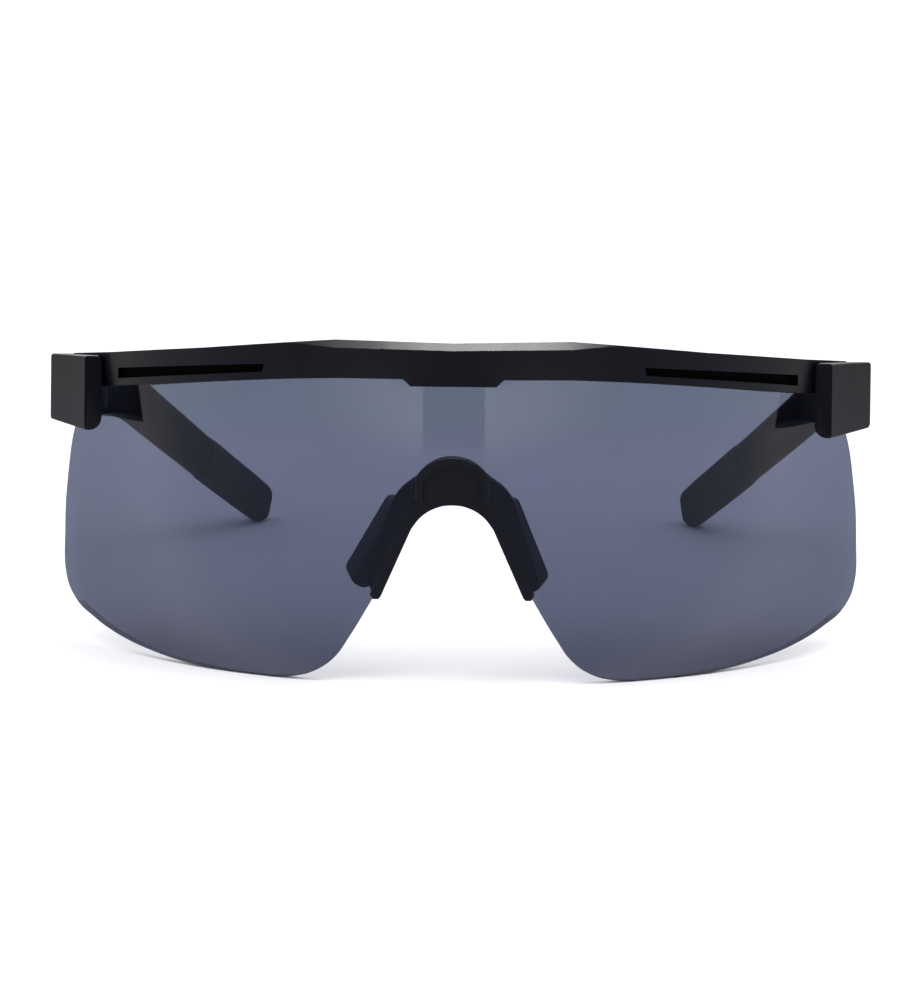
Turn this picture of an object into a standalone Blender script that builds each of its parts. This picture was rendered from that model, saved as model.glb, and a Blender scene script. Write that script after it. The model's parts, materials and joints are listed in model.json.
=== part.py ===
"""Wraparound sport sunglasses: a shield lens under a brow bar, with two folding temples.

Rest pose: the open glasses stand on the two lower lobes of the lens and on both
temple tips. +X is the wearer's left, +Y runs back to the ears, +Z is up and the
floor is z = 0. The lens stands upright. The brow bar, the hinges and the temples
follow the wear plane, which is turned WEAR_TILT about X, so that the temples run
downhill to the tips. Numbers in tuples are millimetres.
"""

import math

import bmesh
import bpy
from mathutils import Matrix, Vector

MM = 0.001
OBJECT_NAME = "sport_sunglasses"

# Driving dimensions, in millimetres and degrees.
WEAR_TILT = 9.0
DEPTH_CENTRE = 74.08         # middle of the depth, measured from the lens's front
GAP = 0.3                    # between pieces that touch
LENS_RADIUS = 85.0
LENS_THICKNESS = 2.0
LENS_STRIPS = 56             # flat strips that make the lens's curve
FACET_X = 19.6               # where the brow bar's middle facet ends
FACET_REACH = 1.46           # how far the middle facet stands in front of its ends
BAR_FRONT = 3.0              # bar surface in front of the lens
BAR_BACK = 4.3               # bar surface behind the lens's front
SLOT_DEPTH = 1.4
LUG_X = 66.9                 # outer side of the lug that carries the hinge
LUG_BACK = 39.0
HINGE_X = 64.8
HINGE_Y = 34.4               # in the wear plane's own frame
BARREL_RADIUS = 1.9
SCREW_RADIUS = 0.7
SCREW_HOLE_RADIUS = 0.85
HEAD_RADIUS = 1.5
TANG_START = 28.2            # how far forward the frame leaf's tang reaches into the lug
BARREL_Z = (46.4, 48.6, 48.85, 50.95, 51.2, 53.4)   # lower, middle and upper knuckle
TEMPLE_INNER_X = 67.4
TIP_START = 0.48             # share of the hook that the temple's own plastic reaches
TONGUE_END = 0.80
ROUND_STEPS = 3              # steps in each rounded corner of a temple section

# Half of the lens outline, from the top middle to the nose: x, z, and S for a
# smooth point or C for a corner.
LENS_TOP = [(0, 54.8, "C"), (20, 54.5, "S"), (32, 53.8, "S"), (43, 52.4, "S"),
            (52, 50.9, "S"), (58, 49.9, "S"), (62, 49.0, "S"), (64.0, 48.2, "C")]
LENS_SIDE = [(65.0, 43.5, "C"), (67.2, 40.0, "S"), (69.6, 28.8, "S"), (70.4, 19.0, "S"),
             (70.2, 10.6, "S"), (68.4, 7.2, "S"), (64.3, 4.7, "S"), (59.3, 2.8, "S"),
             (52.6, 1.3, "S"), (45.5, 0.35, "S"), (38.0, 0.0, "C"), (31.0, 0.0, "C"),
             (27.0, 0.5, "S"), (23.4, 1.7, "S"), (20.4, 3.9, "S"), (17.8, 7.6, "S"),
             (13.1, 15.5, "C")]
NOSE_CUT = [(9.5, 25.0, "S"), (6.6, 31.0, "S"), (4.0, 34.8, "S"), (0, 36.3, "S")]

# Half of the brow bar seen from the front in the wear plane: x and height.
BAR_TOP = [(0, 57.4), (FACET_X, 57.9), (26, 57.5), (42, 56.5), (59, 55.8), (68, 55.7)]
BAR_BOTTOM = [(68, 46.0), (63.6, 46.0), (63.2, 50.0), (58, 50.1), (52, 50.3), (43, 50.8),
              (32, 51.3), (25.4, 51.5), (FACET_X, 51.6), (8.3, 51.5), (7.05, 50.3)]
BAR_CHAMFER = [(0, 1.3), (FACET_X, 1.4), (26, 0.3), (28.5, 0.0)]     # x and width
SLOT = [(31.9, 52.5), (31.6, 53.8), (58.0, 53.1), (58.0, 51.3)]

# Half of the nose arch, from the foot of the leg to the crown: x, z.
ARCH_INNER = [(11.9, 15.6, "C"), (6.8, 27.2, "C"), (5.2, 29.2, "S"), (2.8, 30.7, "S"),
              (0, 31.2, "S")]
ARCH_OUTER = [(0, 36.8, "S"), (4.4, 35.2, "S"), (7.2, 30.9, "S"), (9.9, 25.2, "S"),
              (13.7, 16.0, "C"), (13.2, 15.2, "C"), (12.3, 15.2, "C")]
FLANGE_INNER = [(12.6, 16.0, "C"), (7.8, 27.6, "C"), (5.8, 30.6, "S"), (3.0, 32.4, "S"),
                (0, 33.0, "S")]
FLANGE_OUTER = [(0, 37.6, "S"), (5.4, 35.9, "C"), (9.3, 32.6, "S"), (11.6, 27.0, "S"),
                (14.6, 17.4, "C"), (13.6, 15.6, "C")]
CAP_CENTRE_Z = 32.5
CAP_RADIUS = 6.9
CAP_HALF_WIDTH = 6.15
CAP_PANEL_INSET = 1.3
CAP_PANEL_DEPTH = 0.6
CAP_FRONT = -2.2
CAP_FOOT = 31.9
ARCH_FRONT = -1.5
ARCH_BACK = 5.2
FLANGE_BACK = 4.6

# Each nose pad is a soft bar that slides over a fin of the nose piece.
FIN_BACK = 9.0
FIN_TOP = (8.9, 27.8)
FIN_BOTTOM = (12.8, 18.0)
FIN_THICKNESS = 1.2
PAD_TOP = (8.2, 8.9, 29.8)
PAD_BOTTOM = (14.0, 9.3, 15.4)
PAD_WIDTH = 8.0
PAD_THICKNESS = 3.6
PAD_SPLAY = 18.0
PAD_RINGS = [(0.0, 0.76), (0.03, 0.93), (0.07, 1.0), (0.5, 1.0), (0.93, 1.0),
             (0.97, 0.93), (1.0, 0.76)]     # share of the length and of the full section
RIGHT_PAD_TURN = 8.0         # the wearer's right pad and its fin are bent out further
RIGHT_PAD_SHIFT = 0.8

# Temple stations in the wear plane's frame. The block's are an inner and an outer
# point in plan and a lowest and highest level.
BLOCK = [((61.0, 12.4), (64.0, 11.9), 42.4, 55.2),
         ((64.3, 15.8), (67.4, 17.0), 43.2, 55.4),
         ((TEMPLE_INNER_X, 19.4), (71.3, 22.4), 44.2, 55.6),
         ((TEMPLE_INNER_X, 25.0), (71.7, 25.6), 44.4, 55.7)]
# The arm's are a centre, a height and a thickness.
ARM = [((69.6, 34.0, 50.0), 11.1, 4.2),
       ((69.8, 62.0, 50.0), 10.5, 3.9),
       ((69.3, 86.0, 49.7), 10.0, 3.7),
       ((67.6, 98.0, 48.7), 9.9, 3.8)]
HOOK = [((63.3, 108.2, 44.3), 9.4, 4.0),
        ((57.6, 119.0, 38.6), 8.8, 4.1),
        ((52.1, 129.8, 33.2), 8.5, 4.2),
        ((48.2, 138.6, 29.4), 8.2, 4.3),
        ((45.6, 144.7, 26.8), 7.8, 4.3)]
TONGUE = (4.2, 1.7)          # height and thickness of the tongue inside the tip
TIP_EXTRA = 0.3              # how much fatter the rubber is than the plastic

COLOURS = {                  # base colour, roughness, metallic
    "smoke_lens": ((0.13, 0.14, 0.19), 0.05, 0.0),
    "satin_black": ((0.020, 0.021, 0.026), 0.32, 0.0),
    "soft_black": ((0.016, 0.018, 0.024), 0.55, 0.0),
    "tip_rubber": ((0.013, 0.014, 0.018), 0.70, 0.0),
    "dark_steel": ((0.28, 0.28, 0.30), 0.32, 1.0),
}


# ---- Scene helpers -------------------------------------------------------------

def clear_scene():
    for obj in list(bpy.data.objects):
        bpy.data.objects.remove(obj, do_unlink=True)


def new_collection(name):
    collection = bpy.data.collections.new(name)
    bpy.context.scene.collection.children.link(collection)
    return collection


def make_material(name):
    colour, roughness, metallic = COLOURS[name]
    material = bpy.data.materials.new(name)
    material.use_nodes = True
    shader = material.node_tree.nodes["Principled BSDF"]
    shader.inputs["Base Color"].default_value = (*colour, 1.0)
    shader.inputs["Roughness"].default_value = roughness
    shader.inputs["Metallic"].default_value = metallic
    return material


clear_scene()
PARTS = new_collection(OBJECT_NAME)
CUTTERS = new_collection("cutters")
MATERIALS = {name: make_material(name) for name in COLOURS}


def add_object(name, mesh, material=None, parent=None):
    """Link a mesh given in millimetres as a finished part, or as a cutter without material."""
    mesh.transform(Matrix.Scale(MM, 4))
    obj = bpy.data.objects.new(name, mesh)
    obj.parent = parent
    if material:
        mesh.materials.append(MATERIALS[material])
        PARTS.objects.link(obj)
    else:
        CUTTERS.objects.link(obj)
        obj.hide_render = True
        obj.display_type = "WIRE"
    return obj


def combine(obj, other, operation):
    modifier = obj.modifiers.new(operation.lower(), "BOOLEAN")
    modifier.operation = operation
    modifier.solver = "EXACT"
    modifier.object = other


def add_empty(name, location, parent=None, tilt=0.0):
    empty = bpy.data.objects.new(name, None)
    PARTS.objects.link(empty)
    empty.parent = parent
    empty.location = Vector(location) * MM
    empty.rotation_euler = (math.radians(tilt), 0.0, 0.0)
    return empty


# ---- Shape helpers, all in millimetres --------------------------------------------

def mirrored(half):
    """Close a half outline that starts and ends on x = 0 into a whole one."""
    inner = [point for point in half if point[0] > 0]
    return half + [(-point[0], *point[1:]) for point in reversed(inner)]


def mesh_of_curve(curve):
    """Turn a filled curve into a welded mesh."""
    temporary = bpy.data.objects.new("outline", curve)
    bpy.context.scene.collection.objects.link(temporary)
    graph = bpy.context.evaluated_depsgraph_get()
    mesh = bpy.data.meshes.new_from_object(temporary.evaluated_get(graph))
    bpy.data.objects.remove(temporary)
    bm = bmesh.new()
    bm.from_mesh(mesh)
    bmesh.ops.remove_doubles(bm, verts=bm.verts, dist=1e-4)
    bmesh.ops.recalc_face_normals(bm, faces=bm.faces)
    bm.to_mesh(mesh)
    bm.free()
    return mesh


def prism(outline, low, high, along="Y", steps=5):
    """Extrude a flat outline along an axis. Points are (a, b) or (a, b, S or C)."""
    curve = bpy.data.curves.new("outline", "CURVE")
    curve.dimensions = "2D"
    curve.fill_mode = "BOTH"
    curve.extrude = (high - low) / 2
    curve.resolution_u = steps
    spline = curve.splines.new("BEZIER")
    spline.bezier_points.add(len(outline) - 1)
    spline.use_cyclic_u = True
    for knot, point in zip(spline.bezier_points, outline):
        knot.co = (point[0], point[1], 0.0)
        smooth = len(point) == 3 and point[2] == "S"
        knot.handle_left_type = knot.handle_right_type = "AUTO" if smooth else "VECTOR"
    mesh = mesh_of_curve(curve)
    merge_straight_runs(mesh)
    middle = (low + high) / 2
    place = {
        "Y": Matrix.Translation((0, middle, 0)) @ Matrix.Rotation(math.pi / 2, 4, "X"),
        "Z": Matrix.Translation((0, 0, middle)),
    }[along]
    mesh.transform(place)
    return mesh


def merge_straight_runs(mesh):
    """Dissolve the extra points that straight spline segments leave."""
    bm = bmesh.new()
    bm.from_mesh(mesh)
    bmesh.ops.dissolve_limit(bm, angle_limit=1e-3, verts=bm.verts, edges=bm.edges)
    bm.to_mesh(mesh)
    bm.free()


def box(low, high):
    bm = bmesh.new()
    bmesh.ops.create_cube(bm, size=1.0)
    size = Vector(high) - Vector(low)
    centre = (Vector(high) + Vector(low)) / 2
    bmesh.ops.transform(bm, matrix=Matrix.Translation(centre) @ Matrix.Diagonal((*size, 1)),
                        verts=bm.verts)
    mesh = bpy.data.meshes.new("box")
    bm.to_mesh(mesh)
    bm.free()
    return mesh


def cylinder(x, y, low, high, radius, sides=24):
    bm = bmesh.new()
    place = Matrix.Translation((x, y, (low + high) / 2))
    bmesh.ops.create_cone(bm, cap_ends=True, segments=sides, radius1=radius, radius2=radius,
                          depth=high - low, matrix=place)
    mesh = bpy.data.meshes.new("cylinder")
    bm.to_mesh(mesh)
    bm.free()
    return mesh


def arc_y(x, radius):
    """Depth at x of a wall of this radius round the lens's axis."""
    return LENS_RADIUS - math.sqrt(radius ** 2 - x ** 2)


def rounded_section(height, thickness, radius):
    """Corner-rounded rectangle as (across, up) pairs, anticlockwise from below outside."""
    radius = min(radius, height / 2 - 0.05, thickness / 2 - 0.05)
    points = []
    corners = [(1, -1, -90), (1, 1, 0), (-1, 1, 90), (-1, -1, 180)]
    for side_x, side_z, start in corners:
        centre_x = side_x * (thickness / 2 - radius)
        centre_z = side_z * (height / 2 - radius)
        for step in range(ROUND_STEPS + 1):
            angle = math.radians(start + 90 * step / ROUND_STEPS)
            points.append((centre_x + radius * math.cos(angle),
                           centre_z + radius * math.sin(angle)))
    return points


def loft(sections):
    """Skin a list of equal-length rings of points and close both ends."""
    bm = bmesh.new()
    rings = [[bm.verts.new(point) for point in section] for section in sections]
    count = len(rings[0])
    for first, second in zip(rings, rings[1:]):
        for i in range(count):
            j = (i + 1) % count
            bm.faces.new((first[i], first[j], second[j], second[i]))
    bm.faces.new(rings[0])
    bm.faces.new(rings[-1])
    bmesh.ops.recalc_face_normals(bm, faces=bm.faces)
    mesh = bpy.data.meshes.new("loft")
    bm.to_mesh(mesh)
    bm.free()
    return mesh


def mirror_mesh(mesh, side):
    """Reflect a +X mesh to the -X side when side is -1."""
    if side < 0:
        mesh.transform(Matrix.Scale(-1, 4, (1, 0, 0)))
        mesh.flip_normals()
    return mesh


# ---- The frames of reference --------------------------------------------------------

REST = add_empty("rest_pose", (0, -DEPTH_CENTRE, 0))
WEAR = add_empty("wear_plane", (0, 0, 0), REST, -WEAR_TILT)
SIDES = {"left": 1, "right": -1}


# ---- Lens -------------------------------------------------------------------------

def lens_blank(front, back, grow=0.0):
    """Cut the flat blank, score it into strips and bend it round the lens's axis.

    grow widens the outline where the bar and the nose piece hold it.
    """
    top = [(x + (grow if x > 60 else 0), z + grow, kind) for x, z, kind in LENS_TOP]
    side = [(x + (grow if z > 40 else 0), z, kind) for x, z, kind in LENS_SIDE[:-1]]
    nose = [(max(x - grow, 0), z - (grow if x < 4 else 0), kind)
            for x, z, kind in LENS_SIDE[-1:] + NOSE_CUT]
    outline = mirrored(top + side + nose)
    developed = [(LENS_RADIUS * math.asin(x / LENS_RADIUS), z, kind)
                 for x, z, kind in outline]
    mesh = prism(developed, -back, -front)
    reach = max(x for x, z, kind in developed)
    bm = bmesh.new()
    bm.from_mesh(mesh)
    for strip in range(1, LENS_STRIPS):
        cut = reach * (2 * strip / LENS_STRIPS - 1)
        everything = bm.verts[:] + bm.edges[:] + bm.faces[:]
        bmesh.ops.bisect_plane(bm, geom=everything, dist=1e-5, plane_co=(cut, 0, 0),
                               plane_no=(1, 0, 0))
    for vertex in bm.verts:
        angle = vertex.co.x / LENS_RADIUS
        radius = LENS_RADIUS + vertex.co.y
        vertex.co.x = radius * math.sin(angle)
        vertex.co.y = LENS_RADIUS - radius * math.cos(angle)
    bmesh.ops.reverse_faces(bm, faces=bm.faces)
    bmesh.ops.triangulate(bm, faces=bm.faces)
    bm.to_mesh(mesh)
    bm.free()
    return mesh


def make_lens():
    add_object("lens", lens_blank(0.0, LENS_THICKNESS), "smoke_lens", REST)


# ---- Brow bar -----------------------------------------------------------------------

def bar_front(x):
    """Depth of the bar's front wall at x. The middle facet is flatter than the rest."""
    if abs(x) >= FACET_X:
        return arc_y(x, LENS_RADIUS + BAR_FRONT)
    return arc_y(FACET_X, LENS_RADIUS + BAR_FRONT) - FACET_REACH * (1 - (x / FACET_X) ** 2)


def bar_plan():
    """The bar from above, with walls that follow the lens and a lug at each end."""
    back_radius = LENS_RADIUS - BAR_BACK
    half = [(FACET_X * step / 6, bar_front(FACET_X * step / 6)) for step in range(6)]
    for step in range(15):
        x = FACET_X + (LUG_X - FACET_X) * step / 14
        half.append((x, bar_front(x)))
    half += [(LUG_X, LUG_BACK), (61.2, LUG_BACK), (60.2, 33.0)]
    for step in range(15):
        x = 58.6 * (1 - step / 14)
        half.append((x, arc_y(x, back_radius)))
    return mirrored(half)


def make_brow_frame():
    bar = add_object("brow_frame", prism(bar_plan(), 30, 70, "Z"), "satin_black", REST)
    front_view = mirrored(BAR_TOP + BAR_BOTTOM + [(0, BAR_BOTTOM[-1][1])])
    elevation = add_object("bar_elevation", prism(front_view, -30, 80), None, WEAR)
    combine(bar, elevation, "INTERSECT")
    chamfer_bar(bar)
    groove = lens_blank(-GAP, LENS_THICKNESS + GAP, GAP)
    combine(bar, add_object("lens_groove", groove, None, REST), "DIFFERENCE")
    for name, side in SIDES.items():
        slot = add_object("slot_" + name, mirror_mesh(prism(SLOT, -30, 80), side), None, WEAR)
        keep = cylinder(0, LENS_RADIUS, 0, 100, LENS_RADIUS + BAR_FRONT - SLOT_DEPTH, 192)
        combine(slot, add_object("slot_floor_" + name, keep, None, REST), "DIFFERENCE")
        combine(bar, slot, "DIFFERENCE")
        low, high = BARREL_Z[0] - GAP, BARREL_Z[-1] + GAP
        pocket = box((HINGE_X - 0.6 - GAP, TANG_START - GAP, low),
                     (HINGE_X + 0.6 + GAP, 40.0, high))
        pocket = mirror_mesh(pocket, side)
        combine(bar, add_object("tang_slot_" + name, pocket, None, WEAR), "DIFFERENCE")


def level_at(line, x):
    """Height of a half outline of (x, height) points at any x."""
    for (x_low, low), (x_high, high) in zip(line, line[1:]):
        if abs(x) <= x_high:
            return low + (high - low) * (abs(x) - x_low) / (x_high - x_low)
    return line[-1][1]


def chamfer_bar(bar):
    """Break the middle's top front edge at 45 degrees, fading out past the facet."""
    tilt = math.radians(WEAR_TILT)
    end = BAR_CHAMFER[-1][0]
    rings = []
    for step in range(-24, 25):
        x = end * step / 24
        front = bar_front(x)
        top = (level_at(BAR_TOP, x) - front * math.sin(tilt)) / math.cos(tilt)
        width = level_at(BAR_CHAMFER, x)
        rings.append([Vector((x, front - 1.0, top - width - 1.0)),
                      Vector((x, front + width + 1.0, top + 1.0)),
                      Vector((x, front - 1.0, top + 1.0))])
    combine(bar, add_object("bar_chamfer", loft(rings), None, REST), "DIFFERENCE")


# ---- Nose piece -----------------------------------------------------------------------

def nose_outline(inner, outer):
    """An arch from the inner crown down one leg, across its foot and up the outer side."""
    half_inner = list(reversed(inner))
    half_outer = list(reversed(outer))
    right = half_inner + half_outer
    left = [(-x, z, kind) for x, z, kind in reversed(right[1:-1])]
    return right + left


def cap_outline(inset):
    """The round tab in front of the lens, cut off at the arch's inner crown."""
    radius = CAP_RADIUS - inset
    half_width = CAP_HALF_WIDTH - inset
    start = math.acos(half_width / radius)
    points = []
    for step in range(13):
        angle = start + (math.pi - 2 * start) * step / 12
        points.append((radius * math.cos(angle), CAP_CENTRE_Z + radius * math.sin(angle)))
    foot = CAP_FOOT - 4 * inset
    return points + [(-half_width, foot), (half_width, foot)]


def pad_turn(side):
    """How the wearer's right pad and fin are bent out from the left one's mirror image."""
    if side > 0:
        return Matrix.Identity(4)
    top = Vector(PAD_TOP)
    turn = Matrix.Rotation(math.radians(-RIGHT_PAD_TURN), 4, "Y")
    shift = Matrix.Translation((RIGHT_PAD_SHIFT, 0, 0))
    return shift @ Matrix.Translation(top) @ turn @ Matrix.Translation(-top)


def fin_prism(side, front, back, grow=0.0):
    """The fin's bar between its two end points, or its slot when it grows by a gap."""
    top = Vector(FIN_TOP)
    bottom = Vector(FIN_BOTTOM)
    down = (bottom - top).normalized()
    out = Vector((-down.y, down.x)) * (FIN_THICKNESS / 2 + grow)
    top = top - down * grow
    bottom = bottom + down * grow
    mesh = prism([tuple(top + out), tuple(bottom + out), tuple(bottom - out),
                  tuple(top - out)], front, back)
    mesh.transform(pad_turn(side))
    return mirror_mesh(mesh, side)


def make_nose_bridge():
    core = prism(nose_outline(ARCH_INNER, ARCH_OUTER), ARCH_FRONT, ARCH_BACK)
    bridge = add_object("nose_bridge", core, "satin_black", REST)
    flange = prism(nose_outline(FLANGE_INNER, FLANGE_OUTER), 1.0, FLANGE_BACK)
    combine(bridge, add_object("bridge_flange", flange, None, REST), "UNION")
    cap = add_object("bridge_cap", prism(cap_outline(0.0), CAP_FRONT, 0.5), None, REST)
    combine(bridge, cap, "UNION")
    panel = prism(cap_outline(CAP_PANEL_INSET), CAP_FRONT - 2.0, CAP_FRONT + CAP_PANEL_DEPTH)
    combine(bridge, add_object("cap_panel", panel, None, REST), "DIFFERENCE")
    for name, side in SIDES.items():
        fin = fin_prism(side, FLANGE_BACK - 1.0, FIN_BACK)
        combine(bridge, add_object("pad_fin_" + name, fin, None, REST), "UNION")
    groove = lens_blank(-GAP, LENS_THICKNESS + GAP, GAP)
    combine(bridge, add_object("bridge_groove", groove, None, REST), "DIFFERENCE")


def make_nose_pad(name, side):
    """A soft paddle along the leg, with a slot for the fin."""
    top = Vector(PAD_TOP)
    bottom = Vector(PAD_BOTTOM)
    length = (bottom - top).length
    down = (bottom - top).normalized()
    splay = math.radians(PAD_SPLAY)
    across = Vector((math.sin(splay), math.cos(splay), 0.0))
    across = (across - across.dot(down) * down).normalized()
    out = across.cross(down).normalized()
    rings = []
    for share, size in PAD_RINGS:
        centre = top + down * length * share
        section = rounded_section(PAD_WIDTH * (0.5 + size / 2), PAD_THICKNESS * size, 1.3)
        rings.append([centre + out * a + across * b for a, b in section])
    mesh = loft(rings)
    mesh.transform(pad_turn(side))
    pad = add_object("nose_pad_" + name, mirror_mesh(mesh, side), "soft_black", REST)
    slot = fin_prism(side, 0.0, FIN_BACK + GAP, GAP)
    combine(pad, add_object("pad_slot_" + name, slot, None, REST), "DIFFERENCE")
    clear = prism(nose_outline(ARCH_INNER, FLANGE_OUTER), 0.0, ARCH_BACK + GAP)
    combine(pad, add_object("pad_seat_" + name, clear, None, REST), "DIFFERENCE")


# ---- Temples --------------------------------------------------------------------------

def block_rings():
    rings = []
    for inner, outer, low, high in BLOCK:
        inner = Vector((*inner, 0))
        outer = Vector((*outer, 0))
        centre = (inner + outer) / 2 + Vector((0, 0, (low + high) / 2))
        across = (outer - inner).normalized()
        section = rounded_section(high - low, (outer - inner).length, 0.5)
        rings.append([centre + across * a + Vector((0, 0, b)) for a, b in section])
    return rings


def path_point(stations, share):
    """Point, height and thickness on the smooth line through the stations."""
    count = len(stations) - 1
    place = min(share * count, count - 1e-6)
    index = int(place)
    t = place - index
    line = [Vector(centre) for centre, height, thickness in stations]
    before = line[index - 1] if index else 2 * line[0] - line[1]
    after = line[index + 2] if index + 2 <= count else 2 * line[-1] - line[-2]
    a, b = line[index], line[index + 1]
    point = 0.5 * (2 * a + (b - before) * t + (2 * before - 5 * a + 4 * b - after) * t ** 2
                   + (3 * a - before - 3 * b + after) * t ** 3)
    size = [stations[index][k] * (1 - t) + stations[index + 1][k] * t for k in (1, 2)]
    return point, size[0], size[1]


def path_ring(share, corner, height=None, thickness=None, extra=0.0, scale=1.0):
    """Ring square to the arm's line at this share of the way from block to tip."""
    stations = ARM + HOOK
    point, own_height, own_thickness = path_point(stations, share)
    ahead = path_point(stations, min(share + 0.01, 1.0))[0]
    behind = path_point(stations, max(share - 0.01, 0.0))[0]
    along = (ahead - behind).normalized()
    out = along.cross(Vector((0, 0, 1))).normalized()
    up = out.cross(along)
    high = ((height or own_height) + extra) * scale
    thick = ((thickness or own_thickness) + extra) * scale
    return [point + out * a + up * b for a, b in rounded_section(high, thick, corner)]


def hook_share(share):
    """Share of the whole line for a share of the hook."""
    arm_part = (len(ARM) - 1) / (len(ARM) + len(HOOK) - 1)
    return arm_part + (1 - arm_part) * share


def make_temple(name, side, pivot):
    rings = block_rings()
    last = hook_share(TIP_START)
    steps = 16
    for step in range(steps + 1):
        share = last * step / steps
        corner = 0.5 + 1.4 * min(1.0, share / 0.4)
        rings.append(path_ring(share, corner))
    temple = add_object("temple_" + name, pivot_mesh(loft(rings), side), "satin_black", pivot)
    tongue = [path_ring(hook_share(TIP_START - 0.06 + (TONGUE_END - TIP_START + 0.06) * k / 5),
                        0.6, *TONGUE) for k in range(6)]
    core = add_object("tongue_" + name, pivot_mesh(loft(tongue), side), None, pivot)
    combine(temple, core, "UNION")
    low, high = BARREL_Z[2] - GAP, BARREL_Z[3] + GAP
    pocket = box((TEMPLE_INNER_X - 1.0, HINGE_Y - 1.1 - GAP, low),
                 (TEMPLE_INNER_X + 2.0 + GAP, HINGE_Y + 1.1 + GAP, high))
    pocket = add_object("leaf_pocket_" + name, pivot_mesh(pocket, side), None, pivot)
    combine(temple, pocket, "DIFFERENCE")


def make_temple_tip(name, side, pivot):
    """Rubber sleeve over the tongue, with a round end and a flat where it meets the floor."""
    start = hook_share(TIP_START) + 0.003
    rings = [path_ring(start + (1 - start) * k / 7, 1.9, extra=TIP_EXTRA) for k in range(8)]
    end = path_point(ARM + HOOK, 1.0)[0]
    along = (end - path_point(ARM + HOOK, 0.99)[0]).normalized()
    for push, scale in [(1.2, 0.93), (2.1, 0.78), (2.8, 0.5)]:
        ring = path_ring(1.0, 1.9, extra=TIP_EXTRA, scale=scale)
        rings.append([point + along * push for point in ring])
    tip = add_object("temple_tip_" + name, pivot_mesh(loft(rings), side), "tip_rubber", pivot)
    reach = TONGUE_END - TIP_START
    height, thickness = TONGUE
    socket = [path_ring(hook_share(TIP_START - 0.05 + (reach + 0.07) * k / 5), 0.7,
                        height + 2 * GAP, thickness + 2 * GAP) for k in range(6)]
    hollow = add_object("tip_socket_" + name, pivot_mesh(loft(socket), side), None, pivot)
    combine(tip, hollow, "DIFFERENCE")
    floor = add_object("floor_cut_" + name, box((-90, 0, -10), (90, 200, 0)), None, REST)
    combine(tip, floor, "DIFFERENCE")


def pivot_mesh(mesh, side):
    """Mirror a wear-plane mesh to its side and measure it from the hinge axis."""
    mirror_mesh(mesh, side)
    mesh.transform(Matrix.Translation((-side * HINGE_X, -HINGE_Y, 0)))
    return mesh


# ---- Hinges -----------------------------------------------------------------------------

def make_frame_leaf(name, side):
    """A tang held in the lug, with the lower and the upper knuckle."""
    tang = box((HINGE_X - 0.6, TANG_START, BARREL_Z[0]),
               (HINGE_X + 0.6, HINGE_Y - 2.3, BARREL_Z[5]))
    leaf = add_object("hinge_frame_leaf_" + name, mirror_mesh(tang, side), "dark_steel", WEAR)
    for low, high, level in [(*BARREL_Z[0:2], "lower"), (*BARREL_Z[4:6], "upper")]:
        neck = box((HINGE_X - 0.6, 31.0, low), (HINGE_X + 0.6, HINGE_Y, high))
        neck = add_object(f"neck_{level}_{name}", mirror_mesh(neck, side), None, WEAR)
        combine(leaf, neck, "UNION")
        ring = mirror_mesh(cylinder(HINGE_X, HINGE_Y, low, high, BARREL_RADIUS), side)
        combine(leaf, add_object(f"knuckle_{level}_{name}", ring, None, WEAR), "UNION")
    bore = mirror_mesh(cylinder(HINGE_X, HINGE_Y, 40, 60, SCREW_HOLE_RADIUS), side)
    combine(leaf, add_object("frame_bore_" + name, bore, None, WEAR), "DIFFERENCE")


def make_temple_leaf(name, side, pivot):
    """The middle knuckle, with a tang held in the temple."""
    low, high = BARREL_Z[2:4]
    ring = pivot_mesh(cylinder(HINGE_X, HINGE_Y, low, high, BARREL_RADIUS), side)
    leaf = add_object("hinge_temple_leaf_" + name, ring, "dark_steel", pivot)
    tang = box((HINGE_X, HINGE_Y - 1.1, low), (TEMPLE_INNER_X + 2.0, HINGE_Y + 1.1, high))
    tang = add_object("temple_tang_" + name, pivot_mesh(tang, side), None, pivot)
    combine(leaf, tang, "UNION")
    bore = pivot_mesh(cylinder(HINGE_X, HINGE_Y, 40, 60, SCREW_HOLE_RADIUS), side)
    combine(leaf, add_object("temple_bore_" + name, bore, None, pivot), "DIFFERENCE")


def make_hinge_screw(name, side):
    shaft = mirror_mesh(cylinder(HINGE_X, HINGE_Y, BARREL_Z[0], 54.0, SCREW_RADIUS), side)
    screw = add_object("hinge_screw_" + name, shaft, "dark_steel", WEAR)
    head = cylinder(HINGE_X, HINGE_Y, BARREL_Z[5] + 0.15, BARREL_Z[5] + 1.0, HEAD_RADIUS)
    head = add_object("screw_head_" + name, mirror_mesh(head, side), None, WEAR)
    combine(screw, head, "UNION")
    slot = box((HINGE_X - 0.2, HINGE_Y - 2, BARREL_Z[5] + 0.6),
               (HINGE_X + 0.2, HINGE_Y + 2, BARREL_Z[5] + 2.0))
    slot = add_object("driver_slot_" + name, mirror_mesh(slot, side), None, WEAR)
    combine(screw, slot, "DIFFERENCE")


# ---- Assembly ---------------------------------------------------------------------------

def main():
    make_lens()
    make_brow_frame()
    make_nose_bridge()
    for name, side in SIDES.items():
        pivot = add_empty("temple_pivot_" + name, (side * HINGE_X, HINGE_Y, 0), WEAR)
        make_nose_pad(name, side)
        make_temple(name, side, pivot)
        make_temple_tip(name, side, pivot)
        make_frame_leaf(name, side)
        make_temple_leaf(name, side, pivot)
        make_hinge_screw(name, side)


main()
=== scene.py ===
# %% [markdown]
# # Wraparound sport sunglasses
# The glasses stand open on a pale floor, on the two lower lobes of the lens and on the
# tips of both temples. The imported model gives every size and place. This lesson makes
# the fine surfaces around it: a smooth bent lens, rounded plastic, rubber and steel.

# %% Load the frame
import json
import math

import bpy
from mathutils import Matrix, Vector

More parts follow.
